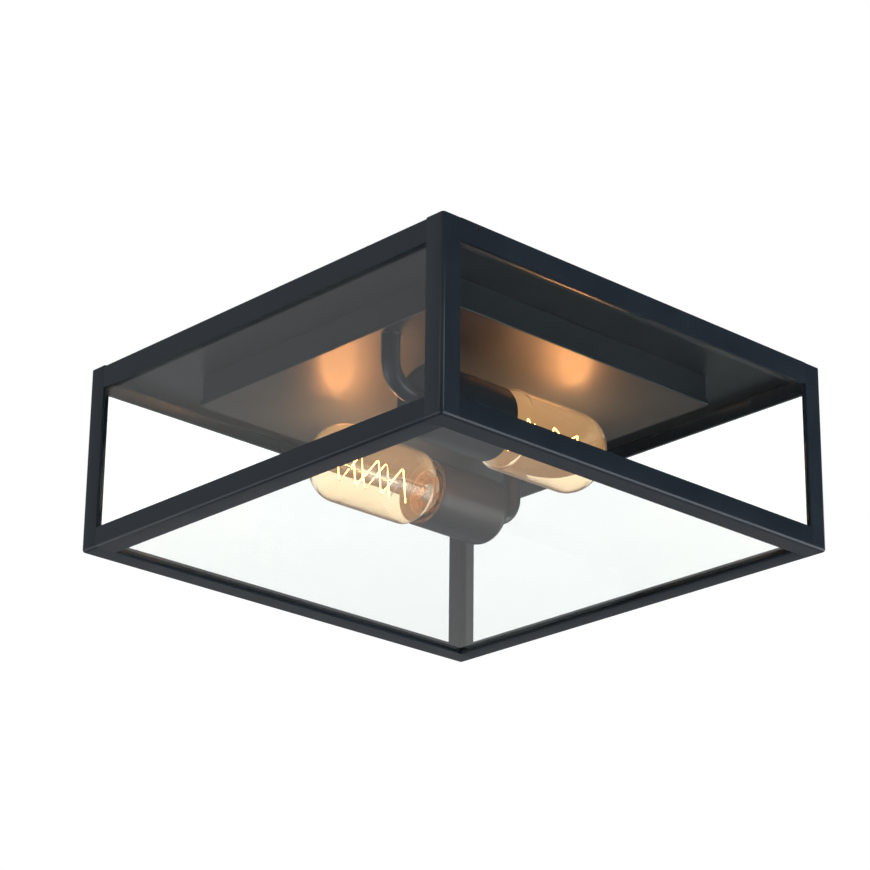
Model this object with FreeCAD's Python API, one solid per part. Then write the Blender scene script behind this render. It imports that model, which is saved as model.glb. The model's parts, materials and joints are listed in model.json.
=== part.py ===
import FreeCAD, Part
import math
import os

# Square porch ceiling lantern, lengths in mm.
# Origin: the middle of the ceiling strap, on the ceiling. +Z points up, so the lantern hangs in -Z.
# +X and +Y run along the two sides of the square that meet at the near corner (-X, -Y).

os.makedirs("parts", exist_ok=True)
V = FreeCAD.Vector

# ---------------------------------------------------------------- cage
cage_side = 300.0            # outside width of the square cage
cage_height = 113.0          # top of the posts to the underside
ceiling_gap = 1.0            # posts stop this far below the ceiling
steel_t = 2.0                # thickness of the cage's angles and flat bars
edge_round = 2.0             # rounding of the cage's outer edges
post_leg = 12.6              # width of each leg of a corner post
top_bar_h = 13.1             # height of the flat bars round the top
top_bar_drop = 1.0           # the two bars on the X sides sit this much lower
bottom_face_h = 12.4         # height of the bottom angles' upright legs
bottom_flange_w = 13.6       # width of the bottom angles' flat legs
weld_gap = 0.02              # hairline left between welded pieces

# ---------------------------------------------------------------- panes and clips
pane_t = 3.0                 # thickness of all five panes
pane_top_drop = 6.2          # side panes' top edge below the top of the posts
pane_seat_gap = 0.1          # air between a pane and the steel beside it
bottom_pane_margin = 1.0     # slot between the bottom pane and the side panes
clip_t = 0.8                 # thickness of the bottom clips
clip_len = 36.0              # length of each bottom clip
clip_lip = 4.0               # reach of a bottom clip over the bottom pane
top_clip_t = 0.5             # thickness of the top clips
top_clip_short = 16.0        # length of the top clips on the Y sides
top_clip_long = 35.0         # length of the top clips on the X sides
top_clip_end_gap = 10.0      # from the end of a long top clip to the next pane
top_clip_down = 7.0          # how far a top clip reaches down the pane
tab_w = 15.0                 # width of the rounded corner tab
tab_h = 14.6                 # height of the rounded corner tab
tab_x = 126.2                # distance of the corner tab from the middle

# ---------------------------------------------------------------- pinch screws
pinch_x = 124.8              # distance of each pinch screw from the middle
pinch_z = -4.4               # height of the pinch screws
pinch_r = 1.5                # radius of a pinch screw
pinch_fit = 0.05             # running clearance of the screw in its hole
pinch_tip_gap = 0.3          # air between the screw's tip and the canopy rim
slot_w = 0.5                 # driver slot width
slot_d = 0.7                 # driver slot depth

# ---------------------------------------------------------------- canopy
plate_gap = 0.6              # air between the canopy rim and the cage
plate_depth = 6.3            # ceiling to the canopy plate's underside
plate_t = 1.2                # sheet of the canopy plate
plate_corner = 3.0           # corner radius of the canopy plate
box_side = 205.6             # outside width of the wiring box
box_wall = 1.0               # sheet of the wiring box
box_flange = 9.0             # width of the box's welding flange under the plate
cover_side = 207.4           # outside width of the cover
cover_bottom = -24.2         # height of the cover's underside
cover_rim_h = 3.2            # height of the cover's turned-up rim
cover_t = 1.0                # floor of the cover
cover_rim_t = 0.8            # rim of the cover
entry_y = -34.0              # where the supply cable comes through the plate
entry_r = 10.0               # bore of the cable bushing
bushing_lip = 2.2            # how far the bushing's lips stand out round its bore
bushing_wall = 1.2           # wall of the bushing's neck
bushing_lip_t = 1.2          # thickness of each bushing lip

# ---------------------------------------------------------------- ceiling strap
strap_len = 112.0
strap_w = 20.0
strap_t = 2.0
strap_slot_x = 44.45         # half of the 3.5 inch ceiling box spacing
strap_slot_w = 4.6
strap_slot_len = 10.0
strap_hole_r = 5.2           # centre hole for a threaded nipple
stud_x = 28.0                # where the canopy's studs stand
stud_r = 2.0
stud_end = -14.0
screw_fit = 0.05             # air between a screw or stud and its tapped hole
plate_hole_r = 2.4
nut_af = 7.0
nut_h = 3.2
washer_r = 5.0
washer_t = 0.8

# ---------------------------------------------------------------- wiring
block_y = 30.0
block_len = 36.0
block_w = 18.0
block_h = 12.0
block_pitch = 11.0
block_screw_r = 1.9
block_screw_well_r = 2.5
block_screw_well = 4.0
block_screw_sunk = 1.2       # a terminal screw's head below the mouth of its well
block_slot_w = 0.7
block_slot_d = 0.8
block_round = 1.0
lead_r = 0.9
lead_level = -14.0
lead_spread = 4.0            # offset of the two leads at the terminal block
lead_in_tube = 1.4           # offset of the two leads inside a lamp tube
ground_y = 62.0
ground_r = 2.0
ground_head_r = 4.2
ground_head_h = 2.2
ground_slot_w = 1.2
ground_slot_d = 1.0
ground_end = 1.0             # the earth screw stops this far below the ceiling

# ---------------------------------------------------------------- cover fixings
standoff_xy = 88.0
standoff_af = 8.0
cover_screw_r = 2.0
cover_screw_len = 9.0
cover_screw_head_r = 3.9
cover_screw_head_h = 2.3
cover_screw_head_round = 1.2
cross_w = 4.4                # width across the recess in a cover screw's head
cross_slot = 1.0             # width of each arm of that recess
cross_d = 1.3                # depth of that recess
standoff_hole = 11.0         # depth of the tapped hole in a standoff

# ---------------------------------------------------------------- lamps
lamp_mid_x = 1.8             # the pair of lamps is centred here on X
lamp_y = 51.7                # each lamp's axis from the middle
lamp_z = -54.8               # height of the lamps' axes
tube_u = -96.6               # upright leg of a lamp tube, along the lamp's own axis
tube_r = 5.2
tube_bore = 3.9
tube_bend = 15.5
tube_wire_hole_r = 3.2       # hole in the cover over each tube
tube_hole_fit = 0.05
cup_mouth = -21.8            # holder cup's open end, along the lamp's own axis
cup_back = -77.2             # holder cup's closed end
cup_r = 20.4
cup_wall = 1.2
cup_back_round = 7.0
cup_back_t = 1.5
ring_nut_r = 7.6
ring_nut_h = 3.0
tube_in_cup = 6.0
insert_recess = 0.8
insert_fit = 0.1
insert_back = -62.0
insert_floor = -54.0
insert_flare = 17.0
insert_flare_len = 4.4
shell_r = 14.1
shell_t = 0.5
shell_front = -24.6
shell_back = -46.0
shell_fit = 0.05
tongue_w = 6.0
tongue_t = 0.5
tongue_top = -51.1
tongue_foot = 11.0           # reach of the tongue's foot below the lamp's axis
tongue_step = 1.0            # the tongue's shelf lies this far below the axis
tongue_head = 6.0            # length of the upright strip that meets the bulb

# ---------------------------------------------------------------- bulbs (45 mm tube shape, 110 mm long)
bulb_len = 110.0
bulb_r = 22.5
bulb_glass_t = 1.0
bulb_start = -50.8           # bulb's contact end, along the lamp's own axis
cap_r = 13.2
cap_t = 0.4
cap_from = 5.5
cap_to = 27.0
insulator_from = 2.0
insulator_r0 = 5.5
insulator_r1 = 12.0
contact_r = 4.8
contact_h = 1.7
neck_r = 12.7
neck_from = 21.0
shoulder_at = 40.0
dome_at = 91.0
stem_base = 22.0
stem_base_r = 11.0
stem_r = 3.0
stem_foot = 3.0              # height and inset of the flare's first step
stem_waist = 33.0            # where the flare has narrowed to the stem
stem_press = 47.0
rod_r = 1.0
hook_r = 0.3
filament_r = 0.3
wire_from = 42.8             # first corner of the glowing wire, from the contact end
wire_step = 9.75             # distance along the bulb from corner to corner
wire_corners = 6             # corners in each of the wire's two rows, out and back
wire_reach = 9.5             # reach of the zigzag to each side of the rod
wire_rows = 5.0              # distance of each row from the rod
wire_tilt = 64.0             # turn of the zigzag about the bulb's axis, in degrees

# ---------------------------------------------------------------- heights that follow
half = cage_side / 2
z_top = -ceiling_gap
z_bottom = z_top - cage_height
z_flange = z_bottom + steel_t
inner = half - steel_t
z_pane_top = z_top - pane_top_drop
pane_out = inner
pane_in = inner - pane_t
plate_half = inner - plate_gap
box_half = box_side / 2
cover_half = cover_side / 2
cover_inside = cover_bottom + cover_t
box_bottom = cover_inside
PARTS = {}


def box(x0, x1, y0, y1, z0, z1):
    return Part.makeBox(x1 - x0, y1 - y0, z1 - z0, V(x0, y0, z0))


def cyl(r, p, axis, h):
    return Part.makeCylinder(r, h, V(*p), V(*axis))


def turned(shape, deg, x=0.0):
    """A copy turned about the upright line at (x, 0)."""
    s = shape.copy()
    s.rotate(V(x, 0, 0), V(0, 0, 1), deg)
    return s


def hexagon(af, p, axis, h):
    """Hexagonal prism measured across its flats, standing on p."""
    r = af / math.sqrt(3)
    pts = [V(r * math.cos(math.radians(60 * i)), r * math.sin(math.radians(60 * i)), 0) for i in range(7)]
    s = Part.Face(Part.makePolygon(pts)).extrude(V(0, 0, h))
    s.Placement = FreeCAD.Placement(V(*p), FreeCAD.Rotation(V(0, 0, 1), V(*axis)))
    return s


def upright_edges(shape, x, y):
    """Edges that stand along Z near the given plan position."""
    out = []
    for e in shape.Edges:
        b = e.BoundBox
        if b.ZLength > 0.5 and b.XLength < 0.01 and b.YLength < 0.01:
            if abs(b.XMin - x) < 0.05 and abs(b.YMin - y) < 0.05:
                out.append(e)
    return out


def plan_rounded(x, z0, z1, r):
    """Square block of half width x with rounded upright edges."""
    b = box(-x, x, -x, x, z0, z1)
    edges = []
    for sx in (-1, 1):
        for sy in (-1, 1):
            edges += upright_edges(b, sx * x, sy * x)
    return b.makeFillet(r, edges)


def solids(*shapes):
    return Part.makeCompound([s for sh in shapes for s in sh.Solids])


# ---------------------------------------------------------------- cage pieces
def cage_envelope():
    """The outside of the cage with its upright and bottom edges rounded."""
    b = box(-half, half, -half, half, z_bottom, z_top)
    edges = []
    for e in b.Edges:
        bb = e.BoundBox
        if bb.ZLength > 1 or bb.ZMax < z_bottom + 0.01:
            edges.append(e)
    return b.makeFillet(edge_round, edges)


def post():
    """Corner angle at the near corner, from the bottom flange to the top."""
    z0 = z_flange + weld_gap
    a = box(-half, -half + post_leg, -half, -inner, z0, z_top)
    b = box(-half, -inner, -half, -half + post_leg, z0, z_top)
    return a.fuse(b).removeSplitter().common(ENVELOPE)


def top_bar(drop):
    """Flat bar along X between two posts, on the -Y side."""
    end = half - post_leg - weld_gap
    return box(-end, end, -half, -inner, z_top - drop - top_bar_h, z_top - drop)


def bottom_bar_long():
    """Angle along X on the -Y side; its flange runs the full width under the posts."""
    end = half - post_leg - weld_gap
    leg = box(-end, end, -half, -inner, z_bottom, z_bottom + bottom_face_h)
    flange = box(-half, half, -half, -half + bottom_flange_w, z_bottom, z_flange)
    return leg.fuse(flange).removeSplitter().common(ENVELOPE)


def bottom_bar_short():
    """Angle for the X sides, drawn on the -Y side: its flange butts between the long ones."""
    end = half - post_leg - weld_gap
    flange_end = half - bottom_flange_w - weld_gap
    leg_low = box(-flange_end, flange_end, -half, -inner, z_bottom, z_flange + weld_gap)
    leg = box(-end, end, -half, -inner, z_flange + weld_gap, z_bottom + bottom_face_h)
    flange = box(-flange_end, flange_end, -half, -half + bottom_flange_w, z_bottom, z_flange)
    return leg_low.fuse([leg, flange]).removeSplitter().common(ENVELOPE)


def side_pane(end):
    """Pane behind the -Y side's steel, reaching from the flange to under the canopy."""
    y0 = -pane_out + pane_seat_gap
    return box(-end, end, y0, y0 + pane_t, z_flange + pane_seat_gap, z_pane_top)


def bottom_pane():
    e = pane_in - bottom_pane_margin
    z0 = z_flange + pane_seat_gap
    return box(-e, e, -e, e, z0, z0 + pane_t)


def bottom_clip():
    """Strip welded on the -Y flange in the slot between two panes, with a lip over the bottom pane."""
    y0 = -pane_in + pane_seat_gap + 0.05
    lip_z = z_flange + pane_seat_gap + pane_t + pane_seat_gap
    up = box(-clip_len / 2, clip_len / 2, y0, y0 + clip_t, z_flange, lip_z + clip_t)
    lip = box(-clip_len / 2, clip_len / 2, y0, y0 + clip_t + clip_lip, lip_z, lip_z + clip_t)
    return up.fuse(lip).removeSplitter()


def corner_tab():
    """Rounded strip welded on the -Y flange beside the near post."""
    y0 = -pane_in + pane_seat_gap + 0.05
    r = tab_w / 2
    flat = box(-tab_x - r, -tab_x + r, y0, y0 + clip_t, z_flange, z_flange + tab_h - r)
    end = cyl(r, (-tab_x, y0, z_flange + tab_h - r), (0, 1, 0), clip_t)
    above = box(-tab_x - r, -tab_x + r, y0, y0 + clip_t, z_flange, z_flange + tab_h)
    return flat.fuse(end).removeSplitter().common(above)


def top_clip(length, x):
    """Thin clip on the -Y top bar that folds over the pane's top edge."""
    z1 = z_pane_top + pane_seat_gap + top_clip_t
    y_in = -pane_in + 2 * pane_seat_gap
    over = box(x - length / 2, x + length / 2, -inner, y_in + top_clip_t, z1 - top_clip_t, z1)
    down = box(x - length / 2, x + length / 2, y_in, y_in + top_clip_t, z1 - top_clip_down, z1)
    return over.fuse(down).removeSplitter()


def pinch_hole():
    """Threaded hole through the -Y top bar."""
    return cyl(pinch_r + pinch_fit, (-pinch_x, -half - 1, pinch_z), (0, 1, 0), steel_t + 2)


def pinch_screw():
    """Slotted grub screw, flush with the bar's face, its tip just off the canopy rim."""
    length = steel_t + plate_gap - pinch_tip_gap
    s = cyl(pinch_r, (-pinch_x, -half, pinch_z), (0, 1, 0), length)
    slot = box(-pinch_x - slot_w / 2, -pinch_x + slot_w / 2, -half - 1, -half + slot_d,
               pinch_z - pinch_r - 1, pinch_z + pinch_r + 1)
    return s.cut(slot)


ENVELOPE = cage_envelope()
near = post()
for name, deg in (("post_near", 0), ("post_right", 90), ("post_far", 180), ("post_left", 270)):
    PARTS[name] = turned(near, deg)

bar_y = top_bar(0.0).cut(pinch_hole())
bar_x = top_bar(top_bar_drop)
PARTS["top_bar_near_right"] = bar_y
PARTS["top_bar_far_left"] = turned(bar_y, 180)
PARTS["top_bar_far_right"] = turned(bar_x, 90)
PARTS["top_bar_near_left"] = turned(bar_x, 270)

bar_long = bottom_bar_long()
bar_short = bottom_bar_short()
PARTS["bottom_bar_near_right"] = bar_long
PARTS["bottom_bar_far_left"] = turned(bar_long, 180)
PARTS["bottom_bar_far_right"] = turned(bar_short, 90)
PARTS["bottom_bar_near_left"] = turned(bar_short, 270)

pane_y = side_pane(pane_in - pane_seat_gap)
pane_x = side_pane(inner - 2 * pane_seat_gap)
PARTS["pane_near_right"] = pane_y
PARTS["pane_far_left"] = turned(pane_y, 180)
PARTS["pane_far_right"] = turned(pane_x, 90)
PARTS["pane_near_left"] = turned(pane_x, 270)
PARTS["pane_bottom"] = bottom_pane()

clip = bottom_clip()
PARTS["bottom_clips"] = solids(*[turned(clip, a) for a in (0, 90, 180, 270)])
PARTS["corner_tab"] = corner_tab()
short_clip = top_clip(top_clip_short, 0.0)
long_clip = top_clip(top_clip_long, -(pane_in - top_clip_end_gap - top_clip_long / 2))
PARTS["top_clips_short"] = solids(short_clip, turned(short_clip, 180))
PARTS["top_clips_long"] = solids(turned(long_clip, 90), turned(long_clip, 270))

grub = pinch_screw()
PARTS["pinch_screw_a"] = grub
PARTS["pinch_screw_b"] = turned(grub, 180)


# ---------------------------------------------------------------- canopy pieces
def top_plate():
    """Shallow tray: a flat plate whose rim is turned up to the ceiling."""
    s = plan_rounded(plate_half, -plate_depth, 0.0, plate_corner)
    low = [e for e in s.Edges if e.BoundBox.ZMax < -plate_depth + 0.01]
    s = s.makeFillet(plate_t, low)
    s = s.cut(plan_rounded(plate_half - plate_t, -plate_depth + plate_t, 1.0, plate_corner - plate_t))
    for x in (-stud_x, stud_x):
        s = s.cut(cyl(plate_hole_r, (x, 0, -plate_depth - 1), (0, 0, 1), plate_depth))
    s = s.cut(cyl(entry_r + bushing_wall + 0.1, (0, entry_y, -plate_depth - 1), (0, 0, 1), plate_depth))
    return s.cut(cyl(ground_r + screw_fit, (0, ground_y, -plate_depth - 1), (0, 0, 1), plate_depth))


def wire_bushing():
    """Snap-in bushing that lines the cable hole, with a lip on each side of the plate."""
    z0 = -plate_depth - bushing_lip_t
    z1 = -plate_depth + plate_t + bushing_lip_t
    neck = cyl(entry_r + bushing_wall, (0, entry_y, z0), (0, 0, 1), z1 - z0)
    lips = [cyl(entry_r + bushing_wall + bushing_lip, (0, entry_y, z), (0, 0, 1), bushing_lip_t)
            for z in (z0, z1 - bushing_lip_t)]
    return neck.fuse(lips).removeSplitter().cut(cyl(entry_r, (0, entry_y, z0 - 1), (0, 0, 1), z1 - z0 + 2))


def wiring_box():
    """Four folded walls with a welding flange under the canopy plate."""
    z1 = -plate_depth
    outer = plan_rounded(box_half, box_bottom, z1, 1.2)
    core = plan_rounded(box_half - box_wall, box_bottom - 1, z1 - box_wall, 0.6)
    mouth = plan_rounded(box_half - box_flange, z1 - box_wall - 1, z1 + 1, 2.0)
    return outer.cut(core).cut(mouth)


def cover_plate():
    """Shallow lid whose rim wraps round the foot of the wiring box."""
    s = plan_rounded(cover_half, cover_bottom, cover_bottom + cover_rim_h, 1.6)
    low = [e for e in s.Edges if e.BoundBox.ZMax < cover_bottom + 0.01]
    s = s.makeFillet(0.6, low)
    s = s.cut(plan_rounded(cover_half - cover_rim_t, cover_inside, cover_bottom + cover_rim_h + 1, 0.9))
    for sx in (-1, 1):
        s = s.cut(cyl(tube_wire_hole_r, (lamp_mid_x + sx * -tube_u, sx * lamp_y, cover_bottom - 1), (0, 0, 1), 6))
        s = s.cut(cyl(cover_screw_r + 0.2, (sx * standoff_xy, sx * standoff_xy, cover_bottom - 1), (0, 0, 1), 6))
    return s


def ceiling_strap():
    """Flat strap for the ceiling box, with two slots, a nipple hole and two tapped holes."""
    s = box(-strap_len / 2, strap_len / 2, -strap_w / 2, strap_w / 2, -strap_t, 0)
    ends = []
    for x in (-strap_len / 2, strap_len / 2):
        for y in (-strap_w / 2, strap_w / 2):
            ends += upright_edges(s, x, y)
    s = s.makeFillet(6.0, ends)
    r = strap_slot_w / 2
    for sx in (-1, 1):
        run = (strap_slot_len - strap_slot_w) / 2
        x = sx * strap_slot_x
        s = s.cut(box(x - run, x + run, -r, r, -5, 1))
        for dx in (-run, run):
            s = s.cut(cyl(r, (x + dx, 0, -5), (0, 0, 1), 6))
        s = s.cut(cyl(stud_r + screw_fit, (sx * stud_x, 0, -5), (0, 0, 1), 6))
    return s.cut(cyl(strap_hole_r, (0, 0, -5), (0, 0, 1), 6))


def strap_studs():
    """Two studs down from the strap."""
    return solids(*[cyl(stud_r, (x, 0, stud_end), (0, 0, 1), -stud_end) for x in (-stud_x, stud_x)])


def stud_nuts():
    """A washer and a nut on each stud, under the canopy plate."""
    out = []
    for x in (-stud_x, stud_x):
        z = -plate_depth
        w = cyl(washer_r, (x, 0, z - washer_t), (0, 0, 1), washer_t)
        n = hexagon(nut_af, (x, 0, z - washer_t - nut_h), (0, 0, 1), nut_h)
        both = w.fuse(n).removeSplitter()
        out.append(both.cut(cyl(stud_r + screw_fit, (x, 0, stud_end), (0, 0, 1), -stud_end)))
    return solids(*out)


def standoffs():
    """Hexagonal posts from the canopy plate down to the cover."""
    out = []
    for s in (-1, 1):
        p = (s * standoff_xy, s * standoff_xy, cover_inside)
        h = -plate_depth - cover_inside
        hole = cyl(cover_screw_r + screw_fit, (p[0], p[1], cover_inside - 1), (0, 0, 1), standoff_hole + 1)
        out.append(hexagon(standoff_af, p, (0, 0, 1), h).cut(hole))
    return solids(*out)


def cover_screws():
    """Pan-head screws up through the cover into the hexagonal posts."""
    out = []
    for s in (-1, 1):
        x = s * standoff_xy
        shank = cyl(cover_screw_r, (x, x, cover_bottom), (0, 0, 1), cover_screw_len)
        head = cyl(cover_screw_head_r, (x, x, cover_bottom - cover_screw_head_h), (0, 0, 1), cover_screw_head_h)
        rim = [e for e in head.Edges if e.BoundBox.ZMax < cover_bottom - cover_screw_head_h + 0.01]
        head = head.makeFillet(cover_screw_head_round, rim)
        z0 = cover_bottom - cover_screw_head_h
        a = cross_slot / 2
        b = cross_w / 2
        cross = box(x - a, x + a, x - b, x + b, z0 - 1, z0 + cross_d)
        cross = cross.fuse(box(x - b, x + b, x - a, x + a, z0 - 1, z0 + cross_d))
        out.append(shank.fuse(head).removeSplitter().cut(cross))
    return solids(*out)


def terminal_block():
    """Two-pole terminal block hung under the canopy plate."""
    z1 = -plate_depth
    b = box(-block_len / 2, block_len / 2, block_y - block_w / 2, block_y + block_w / 2, z1 - block_h, z1)
    low = [e for e in b.Edges if e.BoundBox.ZMax < z1 - block_h + 0.01]
    b = b.makeFillet(block_round, low)
    for x in (-block_pitch, block_pitch):
        for y in (-lead_spread, lead_spread):
            b = b.cut(cyl(block_screw_well_r, (x, block_y + y, z1 - block_h - 1), (0, 0, 1), block_screw_well + 1))
    return b


def terminal_screws():
    """Clamping screws in the wells of the terminal block."""
    out = []
    for x in (-block_pitch, block_pitch):
        for y in (-lead_spread, lead_spread):
            z = -plate_depth - block_h + block_screw_sunk
            s = cyl(block_screw_r, (x, block_y + y, z), (0, 0, 1), block_screw_well - block_screw_sunk)
            slot = box(x - block_screw_r - 1, x + block_screw_r + 1, block_y + y - block_slot_w / 2,
                       block_y + y + block_slot_w / 2, z - 1, z + block_slot_d)
            out.append(s.cut(slot))
    return solids(*out)


def ground_screw():
    """Earth screw up through the canopy plate."""
    z = -plate_depth
    z0 = z - ground_head_h
    shank = cyl(ground_r, (0, ground_y, z), (0, 0, 1), plate_depth - ground_end)
    head = cyl(ground_head_r, (0, ground_y, z0), (0, 0, 1), ground_head_h)
    slot = box(-ground_slot_w / 2, ground_slot_w / 2, ground_y - ground_head_r - 1, ground_y + ground_head_r + 1,
               z0 - 1, z0 + ground_slot_d)
    return shank.fuse(head).removeSplitter().cut(slot)


PARTS["ceiling_strap"] = ceiling_strap()
PARTS["strap_studs"] = strap_studs()
PARTS["stud_nuts"] = stud_nuts()
PARTS["top_plate"] = top_plate()
PARTS["wire_bushing"] = wire_bushing()
PARTS["wiring_box"] = wiring_box()
PARTS["cover_plate"] = cover_plate()
PARTS["cover_standoffs"] = standoffs()
PARTS["cover_screws"] = cover_screws()
PARTS["terminal_block"] = terminal_block()
PARTS["terminal_screws"] = terminal_screws()
PARTS["ground_screw"] = ground_screw()


# ---------------------------------------------------------------- lamp pieces, drawn for lamp A
# Lamp A lies along +X on the -Y side. u runs along its axis from the middle of the pair.
def at(u, dy=0.0, dz=0.0):
    return (lamp_mid_x + u, -lamp_y + dy, lamp_z + dz)


def bent_rod(r, top, end_u, dy=0.0):
    """Round bar down the tube's upright leg, round the bend and along the lamp's axis."""
    x0 = lamp_mid_x + tube_u
    y0 = -lamp_y + dy
    z1 = lamp_z + tube_bend
    down = cyl(r, (x0, y0, z1), (0, 0, 1), top - z1)
    face = Part.Face(Part.Wire(Part.makeCircle(r, V(x0, y0, z1), V(0, 0, 1))))
    bend = face.revolve(V(x0 + tube_bend, y0, z1), V(0, 1, 0), -90)
    along = cyl(r, (x0 + tube_bend, y0, lamp_z), (1, 0, 0), lamp_mid_x + end_u - x0 - tube_bend)
    return down.fuse([bend, along]).removeSplitter()


def lamp_tube():
    """Bent tube welded under the cover, its lower end inside the holder cup."""
    end = cup_back + tube_in_cup
    return bent_rod(tube_r, cover_bottom, end).cut(bent_rod(tube_bore, cover_bottom + 1, end + 1))


def ring_nut():
    """Round nut inside the holder cup."""
    u = cup_back + cup_back_t
    return cyl(ring_nut_r, at(u), (1, 0, 0), ring_nut_h).cut(cyl(tube_r + tube_hole_fit, at(u - 1), (1, 0, 0), 6))


def revolved(points):
    """Solid of revolution about the lamp's axis from (u, radius) points."""
    pts = [V(lamp_mid_x + u, -lamp_y, lamp_z + r) for u, r in points]
    face = Part.Face(Part.makePolygon(pts + [pts[0]]))
    return face.revolve(V(*at(0)), V(1, 0, 0), 360)


def holder_cup():
    """Drawn cup with a rounded back and a hole for the tube."""
    s = cyl(cup_r, at(cup_back), (1, 0, 0), cup_mouth - cup_back)
    back = [e for e in s.Edges if e.BoundBox.XMax < lamp_mid_x + cup_back + 0.01]
    s = s.makeFillet(cup_back_round, back)
    c = cyl(cup_r - cup_wall, at(cup_back + cup_back_t), (1, 0, 0), cup_mouth - cup_back)
    back = [e for e in c.Edges if e.BoundBox.XMax < lamp_mid_x + cup_back + cup_back_t + 0.01]
    s = s.cut(c.makeFillet(cup_back_round - cup_wall, back))
    return s.cut(cyl(tube_r + tube_hole_fit, at(cup_back - 1), (1, 0, 0), 6))


def holder_insert():
    """Insulating body of the holder, bored for the screw shell and flared at its mouth."""
    front = cup_mouth - insert_recess
    r = cup_r - cup_wall - insert_fit
    bore = shell_r + shell_fit
    return revolved([(insert_back, 0), (insert_back, r - 2), (insert_back + 2, r), (front - 0.6, r),
                     (front, r - 0.6), (front, insert_flare), (front - insert_flare_len, bore),
                     (insert_floor, bore), (insert_floor, 0)])


def screw_shell():
    return cyl(shell_r, at(shell_back), (1, 0, 0), shell_front - shell_back).cut(
        cyl(shell_r - shell_t, at(shell_back - 1), (1, 0, 0), shell_front - shell_back + 2))


def contact_tongue():
    """Spring strip on the floor of the holder that meets the bulb's tip."""
    x = lamp_mid_x + insert_floor
    rise = tongue_top - insert_floor
    y0 = -lamp_y - tongue_w / 2
    y1 = -lamp_y + tongue_w / 2
    z0 = lamp_z - tongue_step
    foot = box(x, x + tongue_t, y0, y1, lamp_z - tongue_foot, z0 + tongue_t)
    up = box(x, x + rise, y0, y1, z0, z0 + tongue_t)
    top = box(x + rise - tongue_t, x + rise, y0, y1, z0, z0 + tongue_head)
    return foot.fuse([up, top]).removeSplitter()


def contact_tip():
    b = bulb_start
    return revolved([(b, 0), (b, contact_r - 1), (b + 0.8, contact_r), (b + contact_h, contact_r), (b + contact_h, 0)])


def insulator():
    b = bulb_start
    return revolved([(b + insulator_from, 0), (b + insulator_from, insulator_r0),
                     (b + cap_from - 0.5, insulator_r1), (b + cap_from, insulator_r1), (b + cap_from, 0)])


def cap():
    """Thin metal screw cap with a narrowed closed end."""
    b = bulb_start
    return revolved([(b + cap_from, 0), (b + cap_from, insulator_r1), (b + cap_from + 1.6, cap_r),
                     (b + cap_to, cap_r), (b + cap_to, cap_r - cap_t), (b + cap_from + 1.8, cap_r - cap_t),
                     (b + cap_from + cap_t, insulator_r1 - cap_t), (b + cap_from + cap_t, 0)])


def bulb_line(inset):
    """(u, radius) points of the bulb's glass, moved in by inset."""
    out = [(neck_from, neck_r - inset), (cap_to + 0.5, neck_r - inset)]
    n = 14
    u0 = cap_to + 0.5
    for i in range(1, n + 1):
        t = i / n
        s = t * t * (3 - 2 * t)
        out.append((u0 + (shoulder_at - u0) * t, neck_r + (bulb_r - neck_r) * s - inset))
    out.append((dome_at, bulb_r - inset))
    n = 14
    for i in range(1, n):
        a = math.pi / 2 * i / n
        out.append((dome_at + (bulb_len - inset - dome_at) * math.sin(a), (bulb_r - inset) * math.cos(a)))
    out.append((bulb_len - inset, 0))
    return [(bulb_start + u, r) for u, r in out]


def bulb_glass():
    """Envelope of even wall, open where it enters the cap."""
    return revolved(bulb_line(0.0) + bulb_line(bulb_glass_t)[::-1])


def wire_line():
    """Corners of the glowing wire as (u, y, z): a zigzag out along one row and back along the other."""
    ca, sa = math.cos(math.radians(wire_tilt)), math.sin(math.radians(wire_tilt))
    out = []
    for i in range(2 * wire_corners):
        back = i >= wire_corners
        k = 2 * wire_corners - 0.5 - i if back else i
        side = wire_reach * (1 if i % 2 != back else -1)
        row = wire_rows * (1 if back else -1)
        out.append((bulb_start + wire_from + wire_step * k, side * ca - row * sa, side * sa + row * ca))
    return out


def stem():
    """Glass stem with a rod and a wire hook to each corner of the glowing wire."""
    b = bulb_start
    rod_end = max(u for u, y, z in wire_line()) + rod_r
    s = revolved([(b + stem_base, 0), (b + stem_base, stem_base_r),
                  (b + stem_base + stem_foot, stem_base_r - stem_foot), (b + stem_waist, stem_r),
                  (b + stem_press, stem_r), (b + stem_press + rod_r, rod_r), (rod_end, rod_r), (rod_end, 0)])
    hooks = []
    for u, y, z in wire_line():
        r = math.hypot(y, z)
        hooks.append(cyl(hook_r, at(u), (0, y / r, z / r), r - filament_r))
    return s.fuse(hooks).removeSplitter().cut(filament())


def filament():
    """One wire that zigzags out to the tip and back from hook to hook."""
    pts = [V(*at(u, y, z)) for u, y, z in wire_line()]
    out = [Part.makeSphere(filament_r, p) for p in pts]
    for p, q in zip(pts[:-1], pts[1:]):
        out.append(Part.makeCylinder(filament_r, (q - p).Length, p, q - p))
    return out[0].fuse(out[1:]).removeSplitter()


def leads(side, colour):
    """Insulated wire from the terminal block through a lamp tube to the back of its holder."""
    dy = lead_in_tube * colour
    in_tube = bent_rod(lead_r, lead_level, insert_back, dy)
    if side > 0:
        in_tube = turned(in_tube, 180, lamp_mid_x)
    x0 = lamp_mid_x + side * -tube_u
    y0 = side * (lamp_y - dy)
    p = V(x0, y0, lead_level)
    q = V(side * block_len / 2, block_y + colour * lead_spread * (-side), lead_level)
    across = Part.makeCylinder(lead_r, (q - p).Length - 0.9, p, q - p)
    return in_tube.fuse([Part.makeSphere(lead_r, p), across]).removeSplitter()


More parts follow.
